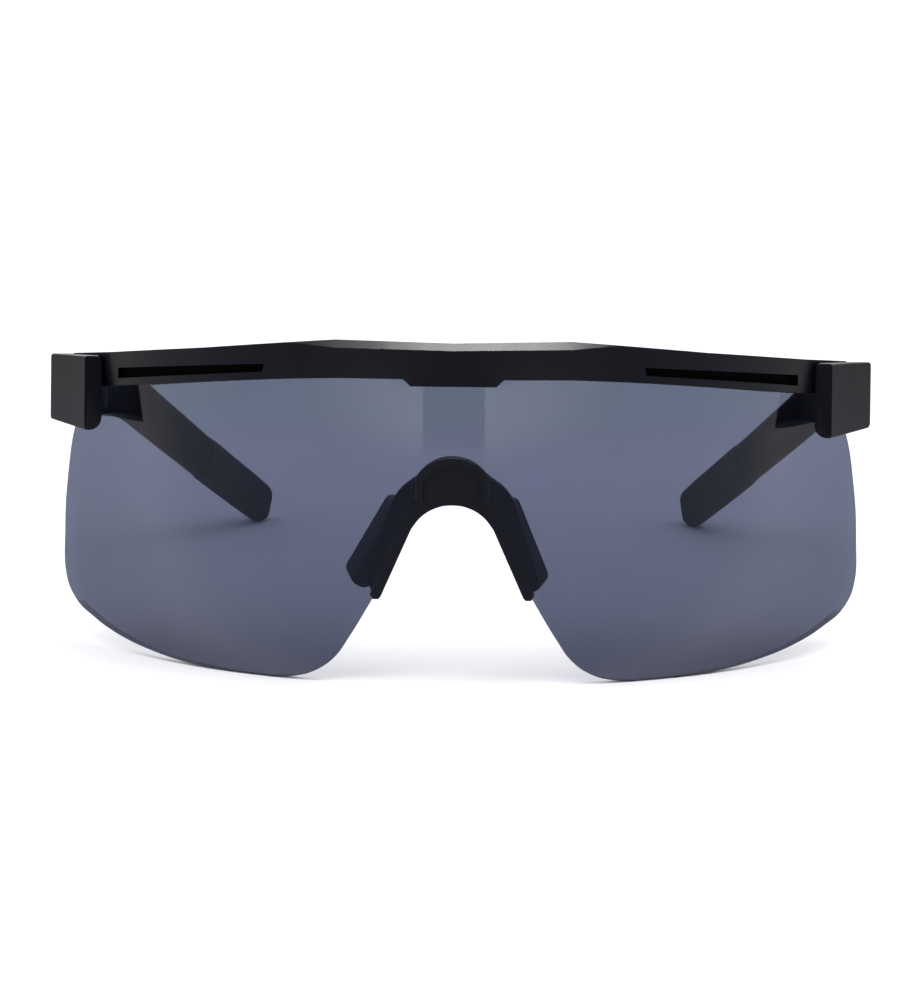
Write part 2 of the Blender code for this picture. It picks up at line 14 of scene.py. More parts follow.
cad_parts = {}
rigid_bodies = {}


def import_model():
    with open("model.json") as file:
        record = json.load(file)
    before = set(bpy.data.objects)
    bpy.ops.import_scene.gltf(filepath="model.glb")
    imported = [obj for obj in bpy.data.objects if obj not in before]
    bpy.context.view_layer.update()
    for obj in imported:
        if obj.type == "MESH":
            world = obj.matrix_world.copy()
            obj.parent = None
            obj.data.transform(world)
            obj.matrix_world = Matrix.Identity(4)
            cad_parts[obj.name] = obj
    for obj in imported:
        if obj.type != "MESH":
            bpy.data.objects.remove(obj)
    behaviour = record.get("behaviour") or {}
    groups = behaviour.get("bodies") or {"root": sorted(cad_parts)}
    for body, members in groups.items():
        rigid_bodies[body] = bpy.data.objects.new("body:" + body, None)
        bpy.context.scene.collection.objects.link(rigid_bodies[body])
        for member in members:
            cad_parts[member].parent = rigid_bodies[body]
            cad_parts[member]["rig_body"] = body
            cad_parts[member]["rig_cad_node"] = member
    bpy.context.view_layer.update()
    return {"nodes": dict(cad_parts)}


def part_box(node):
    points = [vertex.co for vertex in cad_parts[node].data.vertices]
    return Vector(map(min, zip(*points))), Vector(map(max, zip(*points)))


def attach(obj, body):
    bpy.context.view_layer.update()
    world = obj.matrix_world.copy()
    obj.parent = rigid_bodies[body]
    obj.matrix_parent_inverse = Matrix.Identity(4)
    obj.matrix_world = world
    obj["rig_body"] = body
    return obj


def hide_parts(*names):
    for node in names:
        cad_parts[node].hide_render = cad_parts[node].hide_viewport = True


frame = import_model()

MM = 0.001

# %% [markdown]
# ## Where things are
# Two frames of reference are used, both in millimetres. The lens frame is upright and
# starts at the middle of the lens's front. The wear frame is the same one tipped nine
# degrees back, because the brow bar, the hinges and the temples run downhill to the ears.

# %% The two frames of reference
LENS_RADIUS = 85.0
LENS_THICKNESS = 2.0
GAP = 0.3                        # between the lens and the groove round it
WEAR_TILT = math.radians(9.0)
SIDES = {"left": 1, "right": -1}

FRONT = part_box("lens")[0].y      # how far forward the lens reaches
LENS_FRAME = Matrix.Translation((0, FRONT, 0)) @ Matrix.Scale(MM, 4)
WEAR_FRAME = LENS_FRAME @ Matrix.Rotation(-WEAR_TILT, 4, "X")
print("lens front at y =", round(FRONT, 5), "m")

# %% [markdown]
# ## The camera
# The picture is taken from a little above and almost straight on, with a long lens from
# about half a metre. A tripod is never quite level, so a small roll is kept.

# %% Camera
PICTURE = (924, 1000)
FOCAL_LENGTH, FILM_WIDTH = 131.33, 36.0      # millimetres
CAMERA_AT = (18.07, -550.0, 133.31)          # in the lens frame
NEAREST_SEEN = 0.01                          # metres
LOOK_DOWN, LOOK_ASIDE, ROLL = (math.radians(angle) for angle in (10.436, 1.72, 0.375))


def add_camera():
    data = bpy.data.cameras.new("camera")
    data.sensor_fit = "VERTICAL"
    data.sensor_height = FILM_WIDTH * PICTURE[1] / PICTURE[0]
    data.lens = FOCAL_LENGTH
    data.clip_start = NEAREST_SEEN
    camera = bpy.data.objects.new("camera", data)
    bpy.context.scene.collection.objects.link(camera)
    turn = (Matrix.Rotation(LOOK_ASIDE, 4, "Z")
            @ Matrix.Rotation(math.pi / 2 - LOOK_DOWN, 4, "X")
            @ Matrix.Rotation(ROLL, 4, "Z"))
    camera.matrix_world = Matrix.Translation(LENS_FRAME @ Vector(CAMERA_AT)) @ turn
    bpy.context.scene.camera = camera
    return camera


camera = add_camera()
print("camera at", [round(c, 3) for c in camera.location], "lens", round(camera.data.lens, 1), "mm")

# %% [markdown]
# ## Small tools for modelling
# Operators act on whatever is selected, so each step starts from an empty selection.
# These helpers pick one object, open it for editing, and merge or tidy its mesh.

# %% Selection and clean-up helpers
def only(piece):
    """Select one object alone and make it active."""
    for other in bpy.context.selected_objects:
        other.select_set(False)
    piece.select_set(True)
    bpy.context.view_layer.objects.active = piece
    return piece


def edit(piece):
    """Open one object in edit mode with all of it selected."""
    only(piece)
    bpy.ops.object.mode_set(mode="EDIT")
    bpy.ops.mesh.select_all(action="SELECT")


def close_edit():
    bpy.ops.object.mode_set(mode="OBJECT")


def tidy(piece, merge, flat=0.05):
    """Merge doubled points, melt flat neighbours together and point the faces outwards."""
    edit(piece)
    bpy.ops.mesh.remove_doubles(threshold=merge)
    bpy.ops.mesh.dissolve_limited(angle_limit=math.radians(flat))
    bpy.ops.mesh.select_all(action="SELECT")
    bpy.ops.mesh.normals_make_consistent(inside=False)
    close_edit()


def smooth(piece, degrees):
    """Shade smooth, but keep edges sharper than this angle crisp."""
    only(piece)
    bpy.ops.object.shade_smooth_by_angle(angle=math.radians(degrees))


def weigh_normals(piece):
    """Let the big faces set the shading, so that narrow rounded edges don't dent them."""
    only(piece)
    modifier = piece.modifiers.new("weighted", "WEIGHTED_NORMAL")
    modifier.keep_sharp = True
    bpy.ops.object.modifier_apply(modifier=modifier.name)


def apply_boolean(piece, other, operation):
    """Cut or join with another solid, which is used up."""
    only(piece)
    modifier = piece.modifiers.new(operation.lower(), "BOOLEAN")
    modifier.operation = operation
    modifier.solver = "EXACT"
    modifier.object = other
    bpy.ops.object.modifier_apply(modifier=modifier.name)
    bpy.data.objects.remove(other, do_unlink=True)


print("helpers ready")

# %% [markdown]
# ## Outlines
# The lens and the nose piece are flat shapes before anything else. An outline is drawn as
# a curve with few points, smooth or cornered, given a thickness and a rounded rim, and
# turned into a mesh. The rounding comes from the curve's own bevel, which stays even all
# the way round where a bevel on a finished mesh can pinch.

# %% Draw an outline and thicken it
def mirrored(half):
    """Close a half outline that starts and ends on x = 0 into a whole one."""
    inner = [point for point in half if point[0] > 0]
    return half + [(-point[0], *point[1:]) for point in reversed(inner)]


CURVE_STEPS, ROUNDING_STEPS = 12, 3          # pieces per stretch of curve, and round the rim


def outline_solid(name, outline, low, high, rounding=0.0):
    """Extrude an outline of (x, z, S or C) points from y = low to y = high, in millimetres."""
    bpy.ops.curve.primitive_bezier_circle_add(radius=1.0)
    piece = bpy.context.object
    piece.name = name
    curve = piece.data
    curve.splines.clear()
    curve.dimensions = "2D"
    curve.fill_mode = "BOTH"
    curve.extrude = (high - low) / 2 - rounding
    curve.bevel_depth = rounding
    curve.bevel_resolution = ROUNDING_STEPS
    curve.offset = -rounding
    curve.resolution_u = CURVE_STEPS
    spline = curve.splines.new("BEZIER")
    spline.bezier_points.add(len(outline) - 1)
    spline.use_cyclic_u = True
    for knot, (x, z, kind) in zip(spline.bezier_points, outline):
        knot.co = (x, z, 0.0)
        knot.handle_left_type = knot.handle_right_type = "AUTO" if kind == "S" else "VECTOR"
    only(piece)
    bpy.ops.object.convert(target="MESH")
    place = Matrix.Translation((0, (low + high) / 2, 0)) @ Matrix.Rotation(math.pi / 2, 4, "X")
    piece.data.transform(place)
    tidy(piece, merge=1e-3)
    return piece


print("outline tool ready")

# %% [markdown]
# ## Bars that follow a line
# A temple is a bar whose section changes all the way along, and which bends down and in
# behind the ear. A straight bar is extruded from a circle, one length per station, and
# then each of its rings is laid on the rounded section that belongs there. A curve with
# a bevel could not change its height without changing its thickness too.

# %% Sweep rings into a bar
LEAST_FLAT = 0.02            # half of what the corners leave straight on a side, at least


def rounded_section(height, thickness, radii, steps=5):
    """Rectangle with rounded corners, as (across, up) pairs. Radii may be one or four."""
    if not isinstance(radii, tuple):
        radii = (min(radii, height / 2 - LEAST_FLAT, thickness / 2 - LEAST_FLAT),) * 4
    points = []
    corners = [(1, -1, -90), (1, 1, 0), (-1, 1, 90), (-1, -1, 180)]
    for (side_x, side_z, start), radius in zip(corners, radii):
        for step in range(steps + 1):
            angle = math.radians(start + 90 * step / steps)
            points.append((side_x * (thickness / 2 - radius) + radius * math.cos(angle),
                           side_z * (height / 2 - radius) + radius * math.sin(angle)))
    return points


def sweep(name, rings):
    """Extrude a circle once for each further ring, then lay every corner on its own ring."""
    count = len(rings[0])
    bpy.ops.mesh.primitive_circle_add(vertices=count, radius=1.0, fill_type="NGON")
    piece = bpy.context.object
    piece.name = name
    edit(piece)
    for _ in rings[1:]:
        bpy.ops.mesh.extrude_region_move(TRANSFORM_OT_translate={"value": (0, 0, 1)})
    close_edit()
    for vertex in piece.data.vertices:
        turn = math.atan2(vertex.co.y, vertex.co.x) / math.tau
        vertex.co = rings[round(vertex.co.z)][round(turn * count) % count]
    edit(piece)
    bpy.ops.mesh.normals_make_consistent(inside=False)
    close_edit()
    return piece


def finish_mesh(piece, place, side=1):
    """Put a +X piece made in millimetres in its place, or its mirror image on the -X side."""
    piece.data.transform(place)
    if side < 0:
        piece.data.transform(Matrix.Scale(-1, 4, (1, 0, 0)))
        piece.data.flip_normals()
    return piece


print("sweep tool ready")

# %% [markdown]
# ## Materials: the tools
# A pattern is a sum of noises and masks, so shader maths is written as plain arithmetic.
# The first class below wraps a node socket and turns + - * into Math nodes. The second
# holds a material, and its node method adds every other node. Numbers that are the same
# all over are set straight on the shader.

# %% Shader arithmetic
class Wire:
    """One value socket in a material, with arithmetic."""

    def __init__(self, ink, socket):
        self.ink = ink
        self.socket = socket

    def _math(self, operation, first, second):
        return self.ink.node("ShaderNodeMath", {"operation": operation}, {0: first, 1: second})

    def __add__(self, other):
        return self._math("ADD", self, other)

    def __radd__(self, other):
        return self._math("ADD", other, self)

    def __sub__(self, other):
        return self._math("SUBTRACT", self, other)

    def __rsub__(self, other):
        return self._math("SUBTRACT", other, self)

    def __mul__(self, other):
        return self._math("MULTIPLY", self, other)

    def __rmul__(self, other):
        return self._math("MULTIPLY", other, self)


class Ink:
    """The nodes of a new material, and the one method that adds to them."""

    def __init__(self, name):
        self.material = bpy.data.materials.new(name)
        self.open(self.material, "Principled BSDF", "Material Output")

    def open(self, owner, shader, output):
        owner.use_nodes = True
        self.nodes = owner.node_tree.nodes
        self.links = owner.node_tree.links
        self.shader = self.nodes[shader]
        self.output = self.nodes[output]

    def feed(self, socket, value):
        if isinstance(value, Wire):
            self.links.new(value.socket, socket)
        else:
            socket.default_value = value

    def node(self, kind, settings=None, inputs=None, output=0):
        made = self.nodes.new(kind)
        for key, value in (settings or {}).items():
            if key == "stops":
                self.set_stops(made.color_ramp.elements, value)
            else:
                setattr(made, key, value)
        for key, value in (inputs or {}).items():
            self.feed(made.inputs[key], value)
        return Wire(self, made.outputs[output])

    def set_stops(self, elements, stops):
        while len(elements) < len(stops):
            elements.new(0.5)
        for element, (place, colour) in zip(elements, stops):
            element.position = place
            element.color = rgba(*colour)

    def show(self, wire):
        """Make this the shader that the surface shows."""
        self.links.new(wire.socket, self.output.inputs["Surface"])

    def coordinates(self):
        return self.node("ShaderNodeTexCoord", output="Object")

    def axis(self, letter, vector=None):
        return self.node("ShaderNodeSeparateXYZ", {}, {0: vector or self.coordinates()}, letter)

    def noise(self, scale, detail, rough, vector=None):
        where = vector or self.coordinates()
        return self.node("ShaderNodeTexNoise", {}, {
            "Vector": where, "Scale": scale, "Detail": detail, "Roughness": rough})

    def mix_colour(self, factor, first, second):
        # Mix has a set of sockets for each type: 6, 7 and output 2 are the colours.
        return self.node("ShaderNodeMix", {"data_type": "RGBA"},
                         {0: factor, 6: first, 7: second}, 2)

    def mix_shader(self, factor, first, second):
        return self.node("ShaderNodeMixShader", {}, {0: factor, 1: first, 2: second})

    def clear(self, colour):
        return self.node("ShaderNodeBsdfTransparent", {}, {"Color": rgba(*colour)})

    def glow(self, strength, colour=(1.0, 1.0, 1.0)):
        return self.node("ShaderNodeEmission", {}, {"Color": rgba(*colour), "Strength": strength})

    def range(self, value, low, high, to_low, to_high):
        return self.node("ShaderNodeMapRange", {}, {
            "Value": value, "From Min": low, "From Max": high,
            "To Min": to_low, "To Max": to_high})

    def bump(self, height, strength, distance):
        return self.node("ShaderNodeBump", {}, {
            "Height": height, "Strength": strength, "Distance": distance})


def rgba(red, green, blue):
    return (red, green, blue, 1.0)


print("shader tools ready")

# %% [markdown]
# ## Moulded black plastic
# The bar, the nose piece and the temples are nylon from a fine-etched mould. It is a
# near-black with a cool cast, satin rather than glossy. Close up, the etch is a tiny
# grain in the normal, and handling leaves soft patches that are a little shinier.

# %% Satin black plastic
SHINE = 0.42                 # specular level of plastic and rubber, a little under glass


def satin_plastic(name, colour, sheen_low, sheen_high, shine=SHINE):
    ink = Ink(name)
    patches = ink.noise(scale=55.0, detail=3.0, rough=0.55)
    fine = ink.noise(scale=5200.0, detail=2.0, rough=0.6)
    dark = rgba(*(0.86 * part for part in colour))
    light = rgba(*(1.18 * part for part in colour))
    tone = ink.mix_colour(ink.range(patches, 0.35, 0.65, 0.0, 1.0), dark, light)
    ink.feed(ink.shader.inputs["Base Color"], tone)
    rough = ink.range(patches, 0.3, 0.7, sheen_low, sheen_high) + (fine - 0.5) * 0.06
    ink.feed(ink.shader.inputs["Roughness"], rough)
    ink.feed(ink.shader.inputs["Normal"], ink.bump(fine, strength=0.05, distance=0.02 * MM))
    ink.shader.inputs["Specular IOR Level"].default_value = shine
    return ink


FRAME_BLACK = (0.0022, 0.0024, 0.0042)
NOSE_BLACK = (0.0030, 0.0038, 0.0066)
# the slots' walls and floor: painted shade, a darker and duller copy of the frame plastic
SLOT_PAINTED_SHADE_BLACK = (0.0010, 0.0010, 0.0016)
TEMPLE_SHINE, SLOT_SHINE = 0.36, 0.08
frame_plastic = satin_plastic("satin_black_plastic", FRAME_BLACK, 0.24, 0.32)
temple_plastic = satin_plastic("temple_black_plastic", FRAME_BLACK, 0.27, 0.35, TEMPLE_SHINE)
nose_plastic = satin_plastic("nose_piece_plastic", NOSE_BLACK, 0.34, 0.44)
slot_painted_shade = satin_plastic("slot_painted_shade", SLOT_PAINTED_SHADE_BLACK, 0.70, 0.85, SLOT_SHINE)
print("plastics:", [ink.material.name for ink in (frame_plastic, temple_plastic,
                                                  nose_plastic, slot_painted_shade)])

# %% [markdown]
# ## Soft rubber
# Nose pads and temple tips are a soft elastomer, nearly without gloss. It is a dark grey,
# a little lighter than the plastic, with a powdery fine grain and faint rubbed patches.

# %% Rubber
def soft_rubber(name, colour, rough_low, rough_high):
    ink = Ink(name)
    grain = ink.noise(scale=3400.0, detail=3.0, rough=0.65)
    rubbed = ink.noise(scale=90.0, detail=4.0, rough=0.6)
    worn = ink.range(rubbed, 0.45, 0.75, 0.0, 1.0)
    tone = ink.mix_colour(worn, rgba(*colour), rgba(*(1.5 * part for part in colour)))
    ink.feed(ink.shader.inputs["Base Color"], tone)
    rough = ink.range(rubbed, 0.3, 0.75, rough_high, rough_low) + (grain - 0.5) * 0.08
    ink.feed(ink.shader.inputs["Roughness"], rough)
    ink.feed(ink.shader.inputs["Normal"], ink.bump(grain, strength=0.25, distance=0.04 * MM))
    ink.shader.inputs["Specular IOR Level"].default_value = SHINE
    return ink


PAD_GREY = (0.036, 0.038, 0.042)
TIP_GREY = (0.020, 0.022, 0.026)
pad_rubber = soft_rubber("nose_pad_rubber", PAD_GREY, 0.48, 0.62)
tip_rubber = soft_rubber("temple_tip_rubber", TIP_GREY, 0.46, 0.60)
print("rubbers:", pad_rubber.material.name, tip_rubber.material.name)

# %% [markdown]
# ## Steel
# The hinge leaves and screws are small stampings in dark nickel. One noise, drawn out level,
# makes a grain that runs round the axis and shows as fine scratches on the flats.

# %% Hinge steel
GRAIN_SCALE = (900.0, 900.0, 9000.0)         # drawn out level, so that it runs round the axis
DARK_NICKEL, LIGHT_NICKEL = (0.20, 0.20, 0.21), (0.42, 0.42, 0.44)


def hinge_steel():
    ink = Ink("hinge_steel")
    where = ink.node("ShaderNodeMapping", {}, {"Vector": ink.coordinates(), "Scale": GRAIN_SCALE})
    drawn = ink.noise(scale=1.0, detail=3.0, rough=0.6, vector=where)
    tone = ink.mix_colour(drawn, rgba(*DARK_NICKEL), rgba(*LIGHT_NICKEL))
    ink.feed(ink.shader.inputs["Base Color"], tone)
    ink.feed(ink.shader.inputs["Roughness"], ink.range(drawn, 0.2, 0.8, 0.24, 0.42))
    ink.feed(ink.shader.inputs["Normal"], ink.bump(drawn, strength=0.15, distance=0.02 * MM))
    ink.shader.inputs["Metallic"].default_value = 1.0
    return ink


steel = hinge_steel()
print("steel:", steel.material.name)

# %% [markdown]
# ## The smoke lens
# The lens is dyed polycarbonate with a hard polished coat. Light goes straight through a
# thin curved sheet, a little of it blue, and each face mirrors a few per cent of the room.
# A Glass shader would bend light at both faces for no visible gain, so tinted
# transparency is mixed with a mirror. The mirror's share is Schlick's rule on the facing
# angle. The Fresnel node isn't used, because it takes the inside of the sheet for glass
# that light leaves at a slant, and turns it into a full mirror. The tint is slightly
# different at the top and the middle, and darker at the foot: that darkening is painted
# shade, the table's shadow behind the foot, seen through the lens. The rim gets its own
# material: its level parts look almost black, because light runs along inside the sheet
# there, and its upright ends stay nearly clear.

# %% Smoke lens and its rim
TINT_TOP = (0.318, 0.347, 0.407)             # colour left after each of the two faces
TINT_MIDDLE = (0.328, 0.344, 0.423)
# darker at the foot: painted shade, the table's shadow behind the lens's foot seen through it
FOOT_TINT_WITH_PAINTED_SHADE = (0.280, 0.293, 0.358)
MIRROR_SHARE = 0.047                         # what each face mirrors straight on
COATING = (0.93, 0.96, 1.0)
FOOT_TO_MIDDLE, MIDDLE_TO_TOP = (0.000, 0.036), (0.034, 0.050)       # heights of the two blends


def smoke_lens():
    ink = Ink("smoke_lens")
    ink.nodes.remove(ink.shader)
    cloud = ink.noise(scale=30.0, detail=2.0, rough=0.5) - 0.5
    level = ink.axis("Z")
    # the foot blend paints in that shadow, and it fades out towards the middle
    lower = ink.range(level, *FOOT_TO_MIDDLE, 0.0, 1.0) + cloud * 0.2
    upper = ink.range(level, *MIDDLE_TO_TOP, 0.0, 1.0) + cloud * 0.3
    below = ink.mix_shader(lower, ink.clear(FOOT_TINT_WITH_PAINTED_SHADE), ink.clear(TINT_MIDDLE))
    through = ink.mix_shader(upper, below, ink.clear(TINT_TOP))
    smear = ink.noise(scale=160.0, detail=4.0, rough=0.6)
    mirror = ink.node("ShaderNodeBsdfGlossy", {}, {
        "Color": rgba(*COATING), "Roughness": ink.range(smear, 0.4, 0.8, 0.02, 0.05)})
    slant = ink.node("ShaderNodeLayerWeight", {}, {"Blend": 0.5}, "Facing")
    square = slant * slant
    share = square * square * slant * (1 - MIRROR_SHARE) + MIRROR_SHARE
    ink.show(ink.mix_shader(share, through, mirror))
    return ink


RIM_DARK, RIM_LIGHT = (0.010, 0.011, 0.016), (0.020, 0.022, 0.030)
RIM_CLEAR_BELOW, RIM_DARK_FROM = 0.70, 1.0   # squares of how far a rim face looks up or down


def lens_rim():
    ink = Ink("lens_rim")
    polish = ink.noise(scale=400.0, detail=2.0, rough=0.5)
    tone = ink.mix_colour(polish, rgba(*RIM_DARK), rgba(*RIM_LIGHT))
    ink.feed(ink.shader.inputs["Base Color"], tone)
    ink.feed(ink.shader.inputs["Roughness"], ink.range(polish, 0.3, 0.7, 0.10, 0.22))
    upright = ink.axis("Z", ink.node("ShaderNodeNewGeometry", output="Normal"))
    dark = ink.range(upright * upright, RIM_CLEAR_BELOW, RIM_DARK_FROM, 0.06, 0.85)
    ink.show(ink.mix_shader(dark, ink.clear(TINT_MIDDLE), Wire(ink, ink.shader.outputs[0])))
    return ink


smoke = smoke_lens()
rim = lens_rim()
print("lens materials:", smoke.material.name, rim.material.name)

# %% [markdown]
# ## The shield lens
# One sheet covers both eyes. It is cut as a flat blank, with the nose cut-out and two
# lobes, and then bent round a cylinder. Modelling it the same way keeps the rim square to
# the sheet all the way round. The blank is scored into narrow upright strips first,
# because only points can move, and the Simple Deform modifier is not used because its
# bend depends on the mesh's own box.

# %% Lens outline and bending
LENS_HALF = [
    (0, 54.8, "C"), (20, 54.5, "S"), (32, 53.8, "S"), (43, 52.4, "S"), (52, 50.9, "S"),
    (58, 49.9, "S"), (62, 49.0, "S"), (64.0, 48.2, "C"), (65.0, 43.5, "C"), (67.2, 40.0, "S"),
    (69.6, 28.8, "S"), (70.4, 19.0, "S"), (70.2, 10.6, "S"), (68.4, 7.2, "S"),
    (64.3, 4.7, "S"), (59.3, 2.8, "S"), (52.6, 1.3, "S"), (45.5, 0.35, "S"), (38.0, 0.0, "C"),
    (31.0, 0.0, "C"), (27.0, 0.5, "S"), (23.4, 1.7, "S"), (20.4, 3.9, "S"), (17.8, 7.6, "S"),
    (13.1, 15.5, "C"), (9.5, 25.0, "S"), (6.6, 31.0, "S"), (4.0, 34.8, "S"), (0, 36.3, "S")]
NOSE_CUT_FROM = 24           # index of the first nose-cut point in LENS_HALF
NOSE_TOP_X = 4               # nearer the middle than this, the nose cut is nearly level


def lens_blank(name, front, back, strips, grow=0.0, rounding=0.0):
    """Bent sheet between two depths behind the lens's front face, in millimetres."""
    half = []
    for index, (x, z, kind) in enumerate(LENS_HALF):
        if index >= NOSE_CUT_FROM:
            x, z = max(x - grow, 0), z - (grow if x < NOSE_TOP_X else 0)
        half.append((LENS_RADIUS * math.asin(x / LENS_RADIUS), z, kind))
    blank = outline_solid(name, mirrored(half), -back, -front, rounding)
    reach = max(point[0] for point in half)
    edit(blank)
    for strip in range(1, strips):
        bpy.ops.mesh.select_all(action="SELECT")
        bpy.ops.mesh.bisect(plane_co=(reach * (2 * strip / strips - 1), 0, 0),
                            plane_no=(1, 0, 0))
    close_edit()
    for vertex in blank.data.vertices:
        angle = vertex.co.x / LENS_RADIUS
        radius = LENS_RADIUS + vertex.co.y
        vertex.co.x = radius * math.sin(angle)
        vertex.co.y = LENS_RADIUS - radius * math.cos(angle)
    blank.data.flip_normals()
    return blank


print("half outline of the lens:", len(LENS_HALF), "points")


# %% Make the lens
LENS_STRIPS, RIM_ROUNDING = 150, 0.35
FACE_LIKENESS = 0.97         # a face that turns further than this from the sheet is rim


def make_lens():
    lens = lens_blank("shield_lens", 0.0, LENS_THICKNESS, LENS_STRIPS, rounding=RIM_ROUNDING)
    lens.data.materials.append(smoke.material)
    lens.data.materials.append(rim.material)
    for face in lens.data.polygons:
        centre = face.center
        outward = Vector((centre.x, centre.y - LENS_RADIUS, 0)).normalized()
        on_rim = abs(face.normal.dot(outward)) < FACE_LIKENESS
        face.material_index = 1 if on_rim else 0
    smooth(lens, 30)
    weigh_normals(lens)
    finish_mesh(lens, LENS_FRAME)
    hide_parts("lens")
    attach(lens, "front")
    return lens


lens = make_lens()
print("lens faces:", len(lens.data.polygons))

# %% [markdown]
# ## The nose piece
# A stiff arch straddles the lens's nose cut. A round tab with a sunk panel stands in
# front, a flange closes behind, and the lens's edge sits in the groove between them. It is
# drawn as three outlines, joined into one solid. A fourth sinks the panel, and the lens's
# own blank, a little grown, cuts the groove. The fins that carry the pads are inside them,
# out of sight, and stay in the model alone.

# %% Nose piece outlines
ARCH_INNER = [(11.9, 15.6, "C"), (6.8, 27.2, "C"), (5.2, 29.2, "S"), (2.8, 30.7, "S"),
              (0, 31.2, "S")]
ARCH_OUTER = [(0, 36.8, "S"), (4.4, 35.2, "S"), (7.2, 30.9, "S"), (9.9, 25.2, "S"),
              (13.7, 16.0, "C"), (13.2, 15.2, "C"), (12.3, 15.2, "C")]
FLANGE_INNER = [(12.6, 16.0, "C"), (7.8, 27.6, "C"), (5.8, 30.6, "S"), (3.0, 32.4, "S"),
                (0, 33.0, "S")]
FLANGE_OUTER = [(0, 37.6, "S"), (5.4, 35.9, "C"), (9.3, 32.6, "S"), (11.6, 27.0, "S"),
                (14.6, 17.4, "C"), (13.6, 15.6, "C")]
CAP_CENTRE_Z, CAP_RADIUS, CAP_HALF_WIDTH, CAP_FOOT = 32.5, 6.9, 6.15, 31.9
CAP_FRONT, CAP_BACK, PANEL_INSET, PANEL_DEPTH = -2.2, 0.5, 1.3, 0.6
ARCH_FRONT, ARCH_BACK, FLANGE_FRONT, FLANGE_BACK = -1.5, 5.2, 1.0, 4.6
MOULD_ROUNDING = 0.3
CAP_STEPS = 18               # points round the cap
GROOVE_STRIPS = 60


def arch_outline(inner, outer):
    right = list(reversed(inner)) + list(reversed(outer))
    left = [(-x, z, kind) for x, z, kind in reversed(right[1:-1])]
    return right + left


def cap_outline(inset, foot_drop=0.0):
    radius = CAP_RADIUS - inset
    half_width = CAP_HALF_WIDTH - inset
    start = math.acos(half_width / radius)
    points = []
    for step in range(CAP_STEPS + 1):
        angle = start + (math.pi - 2 * start) * step / CAP_STEPS
        points.append((radius * math.cos(angle), CAP_CENTRE_Z + radius * math.sin(angle), "C"))
    foot = CAP_FOOT - foot_drop
    return points + [(-half_width, foot, "C"), (half_width, foot, "C")]


print("cap outline:", len(cap_outline(0.0)), "points")


# %% Make the nose piece
def make_nose_piece():
    piece = outline_solid("nose_piece", arch_outline(ARCH_INNER, ARCH_OUTER),
                          ARCH_FRONT, ARCH_BACK, MOULD_ROUNDING)
    flange = outline_solid("flange", arch_outline(FLANGE_INNER, FLANGE_OUTER),
                           FLANGE_FRONT, FLANGE_BACK, MOULD_ROUNDING)
    apply_boolean(piece, flange, "UNION")
    cap = outline_solid("cap", cap_outline(0.0), CAP_FRONT, CAP_BACK, MOULD_ROUNDING)
    apply_boolean(piece, cap, "UNION")
    panel = outline_solid("panel", cap_outline(PANEL_INSET, 4 * PANEL_INSET),
                          CAP_FRONT - 2.0, CAP_FRONT + PANEL_DEPTH)
    apply_boolean(piece, panel, "DIFFERENCE")
    groove = lens_blank("groove", -GAP, LENS_THICKNESS + GAP, GROOVE_STRIPS, grow=GAP)
    apply_boolean(piece, groove, "DIFFERENCE")
    smooth(piece, 30)
    weigh_normals(piece)
    piece.data.materials.append(nose_plastic.material)
    finish_mesh(piece, LENS_FRAME)
    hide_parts("nose_bridge")
    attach(piece, "front")
    return piece


nose_piece = make_nose_piece()
print("nose piece faces:", len(nose_piece.data.polygons))

# %% [markdown]
# ## Nose pads
# Each pad is a soft bar that slides over a fin. It is widest and flattest in the middle
# and turns in at both ends, so its rings shrink on a quarter ellipse there. The wearer's
# right pad is bent out a few degrees more than the left one.

# %% Make the nose pads
PAD_TOP, PAD_BOTTOM = Vector((8.2, 8.9, 29.8)), Vector((14.0, 9.3, 15.4))
PAD_WIDTH, PAD_THICKNESS, PAD_SPLAY = 8.0, 3.6, math.radians(18.0)
RIGHT_PAD_TURN, RIGHT_PAD_SHIFT = math.radians(8.0), 0.8
PAD_END = 1.2                # length of each rounded end
PAD_CORNER, END_TAPER = 1.4, 1.6


def pad_rings():
    down = (PAD_BOTTOM - PAD_TOP).normalized()
    length = (PAD_BOTTOM - PAD_TOP).length
    across = Vector((math.sin(PAD_SPLAY), math.cos(PAD_SPLAY), 0.0))
    across = (across - across.dot(down) * down).normalized()
    out = across.cross(down).normalized()
    rounds = [PAD_END * (1 - math.cos(math.radians(angle))) for angle in range(0, 91, 15)]
    places = rounds + [length * share for share in (0.2, 0.35, 0.5, 0.65, 0.8)]
    places += [length - place for place in reversed(rounds)]
    rings = []
    for place in places:
        near = min(place, length - place, PAD_END) / PAD_END
        shrink = PAD_END * (1 - math.sqrt(max(0.0, 1 - (1 - near) ** 2)))
        section = rounded_section(PAD_WIDTH - END_TAPER * shrink,
                                  PAD_THICKNESS - END_TAPER * shrink, PAD_CORNER, 6)
        rings.append([PAD_TOP + down * place + out * a + across * b for a, b in section])
    return rings


def make_nose_pad(name, side):
    pad = sweep("soft_pad_" + name, pad_rings())
    if side < 0:
        turn = Matrix.Rotation(-RIGHT_PAD_TURN, 4, "Y")
        shift = Matrix.Translation((RIGHT_PAD_SHIFT, 0, 0))
        pad.data.transform(shift @ Matrix.Translation(PAD_TOP) @ turn
                           @ Matrix.Translation(-PAD_TOP))
    smooth(pad, 60)
    pad.data.materials.append(pad_rubber.material)
    finish_mesh(pad, LENS_FRAME, side)
    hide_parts("nose_pad_" + name)
    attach(pad, "front")
    return pad


for name, side in SIDES.items():
    print(make_nose_pad(name, side).name)

# %% [markdown]
# ## Temples
# A temple starts as a square block that wraps round the end of the brow bar, runs back
# along the head as a flat bar, and hooks down and in behind the ear. Its stations are the
# model's own: four for the block, then a smooth line for the bar and the hook.

